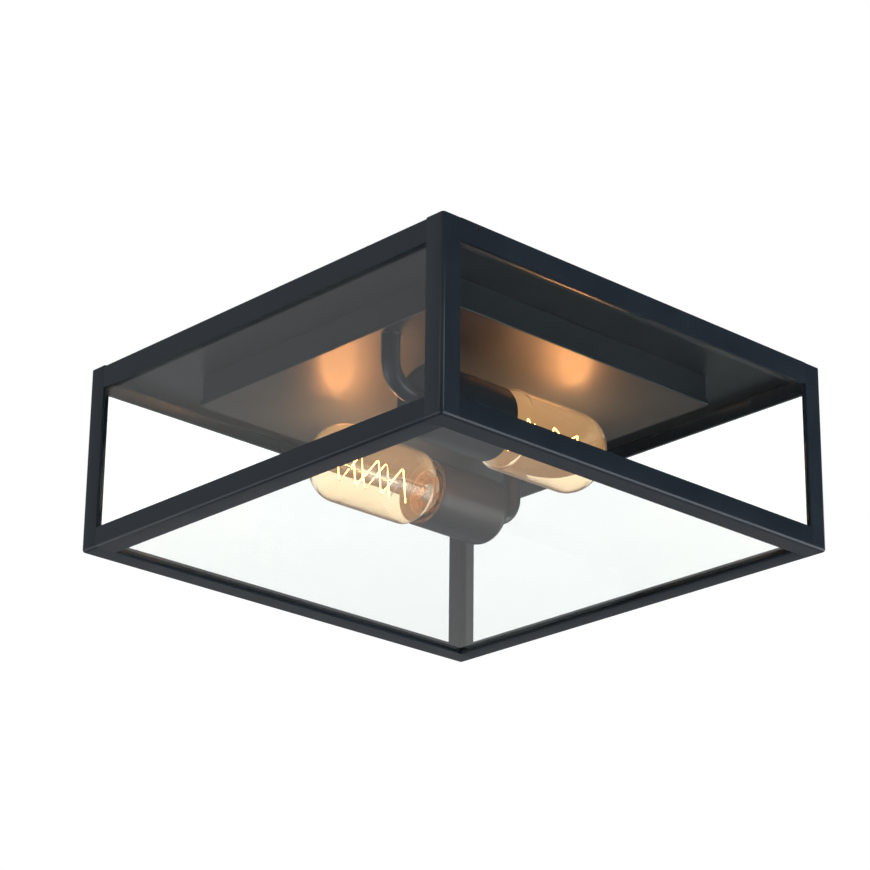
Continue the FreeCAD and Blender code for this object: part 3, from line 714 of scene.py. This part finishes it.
def repaint(material, *nodes):
    """Gives CAD nodes whose shape is right a better finish."""
    for n in nodes:
        ob = frame["nodes"][n]
        for s in ob.material_slots:
            s.material = finish(material)


def copied_round(name, node, soft, material, slot, nodes, step, welds=()):
    mesh = softened(cad_mesh(node), soft, welds=welds)
    ob = copies_of(name, mesh, material, len(nodes), 0.0, step)
    hand_over(ob, "cage", slot, *nodes)


# ---------------------------------------------------------------- operators: the cage
class LANTERN_OT_posts(bpy.types.Operator):
    """Four painted corner posts"""

    bl_idname = "lantern.posts"
    bl_label = "Corner posts"

    def execute(self, context):
        names = ["post_near", "post_right", "post_far", "post_left"]
        copied_round("corner_posts", names[0], shapes().edge_soft, "cage paint", "cage_paint", names, math.pi / 2,
                     ((0, POST_END), (1, POST_END), (2, low("post_near").z)))
        return {"FINISHED"}


class LANTERN_OT_bars(bpy.types.Operator):
    """Painted bars round the top and the bottom of the cage"""

    bl_idname = "lantern.bars"
    bl_label = "Cage bars"

    def execute(self, context):
        for level in ("top", "bottom"):
            for pair, ends in (("y", ("near_right", "far_left")), ("x", ("near_left", "far_right"))):
                names = ["%s_bar_%s" % (level, e) for e in ends]
                along = 0 if pair == "y" else 1
                copied_round("%s_bars_%s" % (level, pair), names[0], shapes().edge_soft, "cage paint",
                             "cage_paint", names, math.pi, ((along, POST_END), (along, FLANGE_END)))
        return {"FINISHED"}


class LANTERN_OT_clips(bpy.types.Operator):
    """Clips and the corner tab that hold the panes"""

    bl_idname = "lantern.clips"
    bl_label = "Clips and tab"

    def execute(self, context):
        for node in ("bottom_clips", "corner_tab", "top_clips_short", "top_clips_long"):
            mesh = softened(cad_mesh(node), shapes().sheet_soft)
            ob = copies_of(node + "_painted", mesh, "cage paint")
            hand_over(ob, "cage", "cage_paint", node)
        return {"FINISHED"}


class LANTERN_OT_pinch_screws(bpy.types.Operator):
    """Slotted screws that pinch the cage on the canopy"""

    bl_idname = "lantern.pinch_screws"
    bl_label = "Pinch screws"

    def execute(self, context):
        for s in ("a", "b"):
            mesh = softened(cad_mesh("pinch_screw_" + s), PINCH_SOFT)
            ob = copies_of("pinch_screw_%s_black" % s, mesh, "black screw")
            hand_over(ob, "pinch_" + s, "black_screw", "pinch_screw_" + s)
        return {"FINISHED"}


class LANTERN_OT_panes(bpy.types.Operator):
    """Four side panes and the bottom pane"""

    bl_idname = "lantern.panes"
    bl_label = "Panes"

    def execute(self, context):
        soft = shapes().pane_soft
        for pair, ends in (("y", ("near_right", "far_left")), ("x", ("near_left", "far_right"))):
            names = ["pane_" + e for e in ends]
            copied_round("side_panes_" + pair, names[0], soft, "side pane", "clear_glass", names, math.pi)
        ob = copies_of("bottom_pane", softened(cad_mesh("pane_bottom"), soft), "bottom pane")
        hand_over(ob, "cage", "bottom_glass", "pane_bottom")
        return {"FINISHED"}


# ---------------------------------------------------------------- operators: the canopy
class LANTERN_OT_canopy(bpy.types.Operator):
    """Canopy tray, wiring box and cover"""

    bl_idname = "lantern.canopy"
    bl_label = "Canopy sheets"

    def execute(self, context):
        for node in ("top_plate", "wiring_box", "cover_plate"):
            mesh = softened(cad_mesh(node), shapes().sheet_soft)
            ob = copies_of(node + "_painted", mesh, "canopy paint")
            hand_over(ob, "canopy", "canopy_paint", node)
        mesh = softened(cad_mesh("cover_screws"), SCREW_SOFT)
        hand_over(copies_of("cover_screws_black", mesh, "black screw"), "canopy", "black_screw", "cover_screws")
        return {"FINISHED"}


class LANTERN_OT_ceiling_parts(bpy.types.Operator):
    """Ceiling strap, its studs and nuts, the earth screw and the cable bushing"""

    bl_idname = "lantern.ceiling_parts"
    bl_label = "Ceiling parts"

    def execute(self, context):
        for node, soft, material, slot in (
                ("ceiling_strap", 0.00025, "zinc", "zinc_steel"), ("strap_studs", 0.0002, "zinc", "zinc_steel"),
                ("stud_nuts", 0.00015, "zinc", "zinc_steel"), ("ground_screw", 0.00015, "zinc", "zinc_steel"),
                ("wire_bushing", 0.0003, "bushing rubber", "black_rubber")):
            ob = copies_of(node + "_finished", softened(cad_mesh(node), soft), material)
            hand_over(ob, "canopy", slot, node)
        return {"FINISHED"}


class LANTERN_OT_wiring(bpy.types.Operator):
    """Finishes of the wiring inside the box and the lamp tubes"""

    bl_idname = "lantern.wiring"
    bl_label = "Wiring"

    def execute(self, context):
        repaint("zinc", "cover_standoffs", "terminal_screws", "tube_nuts")
        repaint("block plastic", "terminal_block")
        repaint("black lead", "leads_live")
        repaint("white lead", "leads_neutral")
        return {"FINISHED"}


# ---------------------------------------------------------------- operators: the lamps
class LANTERN_OT_tubes(bpy.types.Operator):
    """Bent tubes that carry the lamps, with their welds"""

    bl_idname = "lantern.tubes"
    bl_label = "Lamp tubes"

    def execute(self, context):
        x = PAIR_X + TUBE_U
        tube = swept([(x, LAMP_Y, COVER_UNDER), (x, LAMP_Y, LAMP_Z), (PAIR_X + TUBE_END, LAMP_Y, LAMP_Z)],
                     [(0, 1), (1, 2)], TUBE_R, shapes().tube_bend, 20, 40, "lamp paint")
        bm = bmesh.new()
        bm.from_mesh(tube)
        w = shapes().tube_weld
        rows = []
        for i in range(6):
            a = math.pi / 2 * i / 5
            rows.append((TUBE_R - 0.0001 + w * (1 - math.sin(a)) + 0.0001, COVER_UNDER - w * (1 - math.cos(a))))
        rows.append((TUBE_R - 0.0004, COVER_UNDER - w))
        rows.append((TUBE_R - 0.0004, COVER_UNDER))
        loops = []
        n = 48
        for r, z in rows:
            row = []
            for i in range(n):
                t = 2 * math.pi * i / n
                wave = 1.0 + 0.01 * math.sin(9 * t)
                row.append(bm.verts.new((x + r * wave * math.cos(t), LAMP_Y + r * wave * math.sin(t), z)))
            loops.append(row)
        for a, b in zip(loops, loops[1:] + loops[:1]):
            for i in range(n):
                bm.faces.new((a[i], a[(i + 1) % n], b[(i + 1) % n], b[i]))
        bmesh.ops.recalc_face_normals(bm, faces=bm.faces)
        bm.to_mesh(tube)
        bm.free()
        lamp_pair("lamp_tubes", smooth(tube), "lamp paint", "lamp_paint", "lamp_tube")
        return {"FINISHED"}


class LANTERN_OT_holders(bpy.types.Operator):
    """Drawn cups with their insulating bodies, screw shells and contacts"""

    bl_idname = "lantern.holders"
    bl_label = "Lamp holders"

    def execute(self, context):
        s = shapes()
        n = s.around
        r, w, k = CUP_R, s.cup_wall, s.cup_round
        hole = TUBE_R + FIT
        lip = 0.0003
        cup = [(CUP_BACK + 0.0015, hole), (CUP_BACK, hole)]
        cup += arc(CUP_BACK + k, r - k, k, 180, 90, 12)
        cup += arc(CUP_MOUTH - lip, r - lip, lip, 90, 0, 3)
        cup += arc(CUP_MOUTH - lip, r - w + lip, lip, 0, -90, 3)
        cup += arc(CUP_BACK + k + 0.0003, r - k, k - w, 90, 180, 12)
        lamp_pair("holder_cups", turned_mesh("cup", cup, n, ring=True), "lamp paint", "lamp_paint", "holder_cup")

        a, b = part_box("holder_insert_a")
        back, front, ri = a.x - PAIR_X, b.x - PAIR_X, (b.z - a.z) / 2
        bore = SHELL_R + FIT
        floor_u = low("contact_tongue_a").x - PAIR_X
        body = [(back, 0), (back, ri - 0.002), (back + 0.002, ri)]
        body += arc(front - 0.0006, ri - 0.0006, 0.0006, 90, 0, 4)
        body += arc(front - 0.0005, 0.0170 + 0.0003, 0.0005, 0, -60, 3)
        body += [(front - 0.0030, 0.0152), (front - 0.0044, bore), (floor_u, bore), (floor_u, 0)]
        lamp_pair("holder_bodies", turned_mesh("body", body, n), "holder plastic", "holder_plastic",
                  "holder_insert")

        pitch = s.thread_pitch

        def groove(u, angle):
            fade = min(1.0, (u - SHELL_FROM) / THREAD_RUN_OUT, (SHELL_TO - u) / THREAD_RUN_OUT)
            return SHELL_GROOVE * max(0.0, fade) * (math.cos(2 * math.pi * u / pitch - angle) - 1) * 0.5

        steps = 48
        length = SHELL_TO - SHELL_FROM
        outer = [(SHELL_FROM + length * i / steps, SHELL_R) for i in range(steps + 1)]
        shell = outer + [(u, q - SHELL_SHEET) for u, q in outer[::-1]]
        lamp_pair("screw_shells", turned_mesh("shell", shell, 64, ring=True, thread=groove), "shell brass",
                  "shell_metal", "screw_shell")
        repaint("contact brass", "contact_tongue_a", "contact_tongue_b")
        return {"FINISHED"}


def bulb_outline(inset):
    """(u, radius) points of the bulb's glass, moved in by inset."""
    p = lamps()
    r = BULB_R - inset
    start = CAP_TO + 0.0005
    out = [(CAP_TO - 0.006, p.neck_r - inset), (start, p.neck_r - inset)]
    run = BULB_START + p.shoulder - start
    n = 22
    for i in range(1, n + 1):
        t = i / n
        out.append((start + run * t, p.neck_r - inset + (BULB_R - p.neck_r) * t * t * (3 - 2 * t)))
    out.append((BULB_START + (p.shoulder + p.dome) / 2, r))
    dome = BULB_START + p.dome
    n = 26
    for i in range(n):
        a = math.pi / 2 * i / n
        out.append((dome + (BULB_END - inset - dome) * math.sin(a), r * math.cos(a)))
    out.append((BULB_END - inset, 0.0))
    return out


def wire_line():
    """Corners of lamp A's wire: a zigzag out along one row and back along the other."""
    p = lamps()
    ca, sa = math.cos(p.wire_tilt), math.sin(p.wire_tilt)
    out = []
    for i in range(2 * p.wire_corners):
        back = i >= p.wire_corners
        k = 2 * p.wire_corners - 0.5 - i if back else i
        side = p.wire_reach * (1 if i % 2 != back else -1)
        row = p.wire_rows * (1 if back else -1)
        out.append(Vector((PAIR_X + BULB_START + p.wire_from + p.wire_step * k,
                           LAMP_Y + side * ca - row * sa, LAMP_Z + side * sa + row * ca)))
    return out


class LANTERN_OT_bulbs(bpy.types.Operator):
    """Tubular bulbs: threaded cap, glass, stem, hooks and glowing wire"""

    bl_idname = "lantern.bulbs"
    bl_label = "Bulbs"

    def execute(self, context):
        p, s = lamps(), shapes()
        pitch, depth = s.thread_pitch, s.thread_depth

        def thread(u, angle):
            fade = min(1.0, (u - CAP_FROM - CAP_CONE) / 0.003, (CAP_TO - 0.0012 - u) / THREAD_RUN_OUT)
            return depth * max(0.0, fade) * (math.cos(2 * math.pi * u / pitch - angle) - 1) * 0.5

        steps = 84
        run = CAP_TO - CAP_FROM - CAP_CONE
        cap = [(CAP_FROM, 0.0), (CAP_FROM, CAP_R - 0.0012)]
        cap += [(CAP_FROM + CAP_CONE + run * i / steps, CAP_R) for i in range(steps + 1)]
        cap += [(u, q - CAP_SHEET) for u, q in cap[:1:-1]]
        cap += [(CAP_FROM + CAP_SHEET, CAP_R - 0.0012 - CAP_SHEET), (CAP_FROM + CAP_SHEET, 0.0)]
        cap_mesh = turned_mesh("cap", cap, 96, thread=thread)

        glass = bulb_outline(0.0) + bulb_outline(p.glass_wall)[::-1]
        glass_mesh = turned_mesh("glass", glass, s.around, ring=True)

        b = BULB_START
        stem = [(b + 0.022, 0.0), (b + 0.022, 0.0110)]
        stem += arc(b + 0.022 + 0.0115, 0.0110 + 0.0030, 0.0115, 195, 250, 8)[2:]
        stem = [(u, q) for u, q in stem if q > 0.003 or q == 0.0]
        corners = wire_line()
        tip = max(c.x for c in corners) - PAIR_X + 0.001
        stem += [(b + 0.033, 0.0030), (b + 0.044, 0.0030), (b + 0.0465, 0.0034), (b + 0.0478, 0.0024),
                 (b + 0.0484, 0.0010), (tip - 0.0008, 0.0010), (tip - 0.0004, 0.0013), (tip, 0.0008), (tip, 0.0)]
        stem_mesh = turned_mesh("stem", stem, 48)
        ends = []
        for c in corners:
            ends += [Vector((c.x, LAMP_Y, LAMP_Z)), c]
        pairs = [(i, i + 1) for i in range(0, len(ends), 2)]
        wire_pairs = [(i, i + 1) for i in range(len(corners) - 1)]

        for side, first in (("a", 0.0), ("b", math.pi)):
            body = "bulb_" + side

            def piece(name, mesh, material):
                return copies_of(name % side, mesh, material, 1, first, 0.0, PAIR_X)

            ob = piece("bulb_cap_%s_threaded", cap_mesh.copy(), "shell brass")
            hand_over(ob, body, "shell_metal", "bulb_cap_" + side)
            ob = piece("bulb_glass_%s_blown", glass_mesh.copy(), "bulb glass")
            hand_over(ob, body, "amber_glass", "bulb_glass_" + side)
            ob = piece("bulb_stem_%s_drawn", stem_mesh.copy(), "stem glass")
            hand_over(ob, body, "stem_glass", "bulb_stem_" + side)
            ob = piece("bulb_hooks_%s", smooth(swept(ends, pairs, p.hook_r, 0.0, 1, 8, "zinc")), "zinc")
            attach(ob, body)
            wire = swept(corners, wire_pairs, p.wire_r, 0.0010, 4, 8, "glowing wire")
            ob = piece("bulb_wire_%s", smooth(wire), "glowing wire")
            hand_over(ob, body, "glowing_wire", "bulb_filament_" + side)
            repaint("black enamel", "bulb_insulator_" + side)
            repaint("solder", "bulb_contact_" + side)
        return {"FINISHED"}


# ---------------------------------------------------------------- stage
LIGHTS_AIM = Vector((0.0, 0.0, -0.06))
WHITE_ROOM = (1.0, 1.0, 1.0, 1.0)
FLOOR_Z = -2.2
FLOOR_R = 16.0
FLOOR_GLOW = 0.55                       # share of the floor that the camera sees as plain white
TO_THE_RIGHT = (0.732, -0.681, 0.0)     # level, to the right of the photograph
BRIGHT_SIDE = (-0.80, 0.55, -0.22)      # where mirrors see the bright side of the room
CAMERA_PLACE = (-1.07961, -1.14482, -0.66501)
CAMERA_ANGLES = (47.066, 21.598, 0.636)  # azimuth, elevation and roll in degrees
LIGHT_MIDDLE = 0.040                    # middle of a wire's lights, from its first corner
LIGHT_STEP = 0.0065                     # from one of its lights to the next
LIT_BY_WIRES = ("cover_plate", "wiring_box", "top_plate", "cover_screws", "lamp_tubes", "holder_", "bulb_",
                "screw_shells")


def area_light(name, place, size, power):
    """A soft round lamp that points at the lantern and shows in no mirror."""
    data = bpy.data.lights.new(name, "AREA")
    data.shape = "DISK"
    data.size = size
    data.energy = power
    ob = bpy.data.objects.new(name, data)
    ob.location = place
    ob.rotation_euler = (LIGHTS_AIM - Vector(place)).to_track_quat("-Z", "Y").to_euler()
    ob.visible_glossy = False
    ob.visible_camera = False
    ob.visible_transmission = False
    bpy.context.scene.collection.objects.link(ob)


def room():
    """White to the eye and through glass; in mirrors bright on the left and dim on the right."""
    p = stage()
    world = bpy.data.worlds.new("Room")
    bpy.context.scene.world = world
    world.use_nodes = True
    g = Graph(world.node_tree)
    out = g.add("ShaderNodeOutputWorld")
    ray = g.add("ShaderNodeLightPath").outputs
    way = g.add("ShaderNodeTexCoord")
    dot = g.add("ShaderNodeVectorMath", operation="DOT_PRODUCT")
    dot.inputs[1].default_value = Vector(BRIGHT_SIDE).normalized()
    g.link(way.outputs["Generated"], dot.inputs[0])
    grade = g.add("ShaderNodeMapRange", interpolation_type="SMOOTHSTEP")
    grade.inputs["From Min"].default_value = -0.9
    grade.inputs["From Max"].default_value = 0.9
    grade.inputs["To Min"].default_value = p.mirror_right
    grade.inputs["To Max"].default_value = p.mirror_left
    g.link(dot.outputs["Value"], grade.inputs["Value"])
    behind = g.add("ShaderNodeMapRange")
    behind.inputs["To Min"].default_value = 1.0
    behind.inputs["To Max"].default_value = p.through_glass
    g.link(ray["Is Transmission Ray"], behind.inputs["Value"])

    def light(strength):
        node = g.add("ShaderNodeBackground")
        g.feed(node.inputs["Strength"], strength)
        return node

    mirrored, soft, white = light(grade.outputs["Result"]), light(p.fill), light(behind.outputs["Result"])
    for node in (soft, white):
        node.inputs["Color"].default_value = WHITE_ROOM
    seen = g.calc("MAXIMUM", ray["Is Camera Ray"], ray["Is Transmission Ray"])
    first = g.either(ray["Is Glossy Ray"], soft.outputs[0], mirrored.outputs[0])
    g.link(g.either(seen, first, white.outputs[0]), out.inputs["Surface"])


def floor_in_mirrors(f):
    """Brightness of the floor in mirrors: dark right below, brightest to the camera's right."""
    p = stage()
    flat = f.add("ShaderNodeVectorMath", operation="MULTIPLY")
    f.link(f.place.outputs["Object"], flat.inputs[0])
    flat.inputs[1].default_value = (1.0, 1.0, 0.0)
    far = f.add("ShaderNodeVectorMath", operation="LENGTH")
    f.link(flat.outputs[0], far.inputs[0])
    way = f.add("ShaderNodeVectorMath", operation="NORMALIZE")
    f.link(flat.outputs[0], way.inputs[0])
    side = f.add("ShaderNodeVectorMath", operation="DOT_PRODUCT")
    f.link(way.outputs[0], side.inputs[0])
    side.inputs[1].default_value = TO_THE_RIGHT
    right = f.span(side.outputs["Value"], 0.0, p.floor_right - p.floor_mirror, 0.55, 0.95)
    left = f.span(side.outputs["Value"], 0.0, p.floor_left - p.floor_mirror, -0.55, -0.95)
    whole = f.calc("ADD", f.calc("ADD", right, left), p.floor_mirror - p.floor_below)
    return f.calc("MULTIPLY_ADD", f.span(far.outputs["Value"], 0.0, 1.0, 2.7, 4.2), whole, p.floor_below)


def pale_floor():
    mesh = bpy.data.meshes.new("pale_floor")
    bm = bmesh.new()
    bmesh.ops.create_circle(bm, cap_ends=True, segments=96, radius=FLOOR_R,
                            matrix=Matrix.Translation((0.0, 0.0, FLOOR_Z)))
    bm.to_mesh(mesh)
    bm.free()
    f = Finish("pale floor")
    f.link(f.blend(f.span(f.noise(0.6, 2.0), 0.0, 1.0), (0.86, 0.86, 0.86), (0.90, 0.90, 0.90)),
           f.main.inputs["Base Color"])
    f.set(Roughness=0.9)
    f.main.inputs["Specular IOR Level"].default_value = 0.1
    ray = f.add("ShaderNodeLightPath").outputs
    mirrored = f.calc("MAXIMUM", ray["Is Glossy Ray"], ray["Is Transmission Ray"])
    seen = f.calc("MULTIPLY", ray["Is Camera Ray"], FLOOR_GLOW)
    last = f.main.outputs[0]
    for factor, strength in ((seen, 1.0), (mirrored, floor_in_mirrors(f))):
        light = f.add("ShaderNodeEmission")
        f.feed(light.inputs["Strength"], strength)
        last = f.either(factor, last, light.outputs[0])
    f.link(last, f.out.inputs["Surface"])
    ob = loose("pale_floor", mesh)
    mesh.materials.append(f.mat)


def warm_lights():
    """The light that the glowing wires throw on the canopy and the lamps."""
    p = lamps()
    lit = bpy.data.collections.new("Lit by the wires")
    for ob in bpy.context.scene.objects:
        if ob.type == "MESH" and ob.name.startswith(LIT_BY_WIRES):
            lit.objects.link(ob)
        if ob.name.startswith(("bulb_wire_", "bulb_hooks_")):
            ob.visible_shadow = False
            ob.visible_glossy = False
    n = p.wire_lights
    for name, sx in (("warm_a", 1.0), ("warm_b", -1.0)):
        for i in range(n):
            u = BULB_START + p.wire_from + LIGHT_MIDDLE + LIGHT_STEP * (i - (n - 1) / 2)
            data = bpy.data.lights.new("%s_%d" % (name, i), "POINT")
            data.energy = p.warmth / n
            data.color = tuple(colours().lamplight)
            data.shadow_soft_size = 0.0
            ob = bpy.data.objects.new(data.name, data)
            ob.location = (PAIR_X + sx * u, sx * LAMP_Y, LAMP_Z)
            ob.light_linking.receiver_collection = lit
            bpy.context.scene.collection.objects.link(ob)


def photo_camera():
    """Camera below the ceiling, looking up at the near corner."""
    data = bpy.data.cameras.new("camera")
    data.sensor_width = 36.0
    data.lens = stage().lens
    data.clip_start = 0.05
    data.clip_end = 60.0
    az, el, roll = (math.radians(a) for a in CAMERA_ANGLES)
    ahead = Vector((math.cos(az) * math.cos(el), math.sin(az) * math.cos(el), math.sin(el)))
    level = Vector((math.sin(az), -math.cos(az), 0.0))
    upright = level.cross(ahead)
    right = math.cos(roll) * level + math.sin(roll) * upright
    up = -math.sin(roll) * level + math.cos(roll) * upright
    turn = Matrix((right, up, -ahead)).transposed().to_4x4()
    ob = bpy.data.objects.new("camera", data)
    ob.matrix_world = Matrix.Translation(CAMERA_PLACE) @ turn
    bpy.context.scene.collection.objects.link(ob)
    bpy.context.scene.camera = ob


class LANTERN_OT_stage(bpy.types.Operator):
    """Pale floor, soft lights, warm lamplight and the camera"""

    bl_idname = "lantern.stage"
    bl_label = "Stage"

    def execute(self, context):
        p = stage()
        room()
        pale_floor()
        area_light("key", (-2.2, -0.4, -0.6), 1.6, p.key)
        area_light("rim", (1.2, -2.2, -0.3), 1.4, p.rim)
        area_light("lift", (0.3, 0.3, -1.9), 1.8, p.lift)
        warm_lights()
        photo_camera()
        bpy.context.scene.view_settings.view_transform = "Standard"
        return {"FINISHED"}


STEPS = (LANTERN_OT_posts, LANTERN_OT_bars, LANTERN_OT_clips, LANTERN_OT_pinch_screws, LANTERN_OT_panes,
         LANTERN_OT_canopy, LANTERN_OT_ceiling_parts, LANTERN_OT_wiring, LANTERN_OT_tubes, LANTERN_OT_holders,
         LANTERN_OT_bulbs, LANTERN_OT_stage)
GROUPS = (("lantern_shapes", LanternShapes), ("lantern_lamps", LanternLamps),
          ("lantern_colours", LanternColours), ("lantern_stage", LanternStage))


class LANTERN_PT_panel(bpy.types.Panel):
    """Sizes, colours and steps of the lantern"""

    bl_idname = "LANTERN_PT_panel"
    bl_label = "Porch lantern"
    bl_space_type = "VIEW_3D"
    bl_region_type = "UI"
    bl_category = "Lantern"

    def draw(self, context):
        for name, group in GROUPS:
            box = self.layout.box()
            for key in group.__annotations__:
                box.prop(getattr(context.scene, name), key)
        for step in STEPS:
            self.layout.operator(step.bl_idname)


CLASSES = tuple(g for _, g in GROUPS) + STEPS + (LANTERN_PT_panel,)


def register():
    for c in CLASSES:
        bpy.utils.register_class(c)
    for name, group in GROUPS:
        setattr(bpy.types.Scene, name, PointerProperty(type=group))


def unregister():
    for name, _ in GROUPS:
        delattr(bpy.types.Scene, name)
    for c in reversed(CLASSES):
        bpy.utils.unregister_class(c)


def main():
    register()
    for step in STEPS:
        group, name = step.bl_idname.split(".")
        getattr(getattr(bpy.ops, group), name)()


if __name__ == "__main__":
    main()
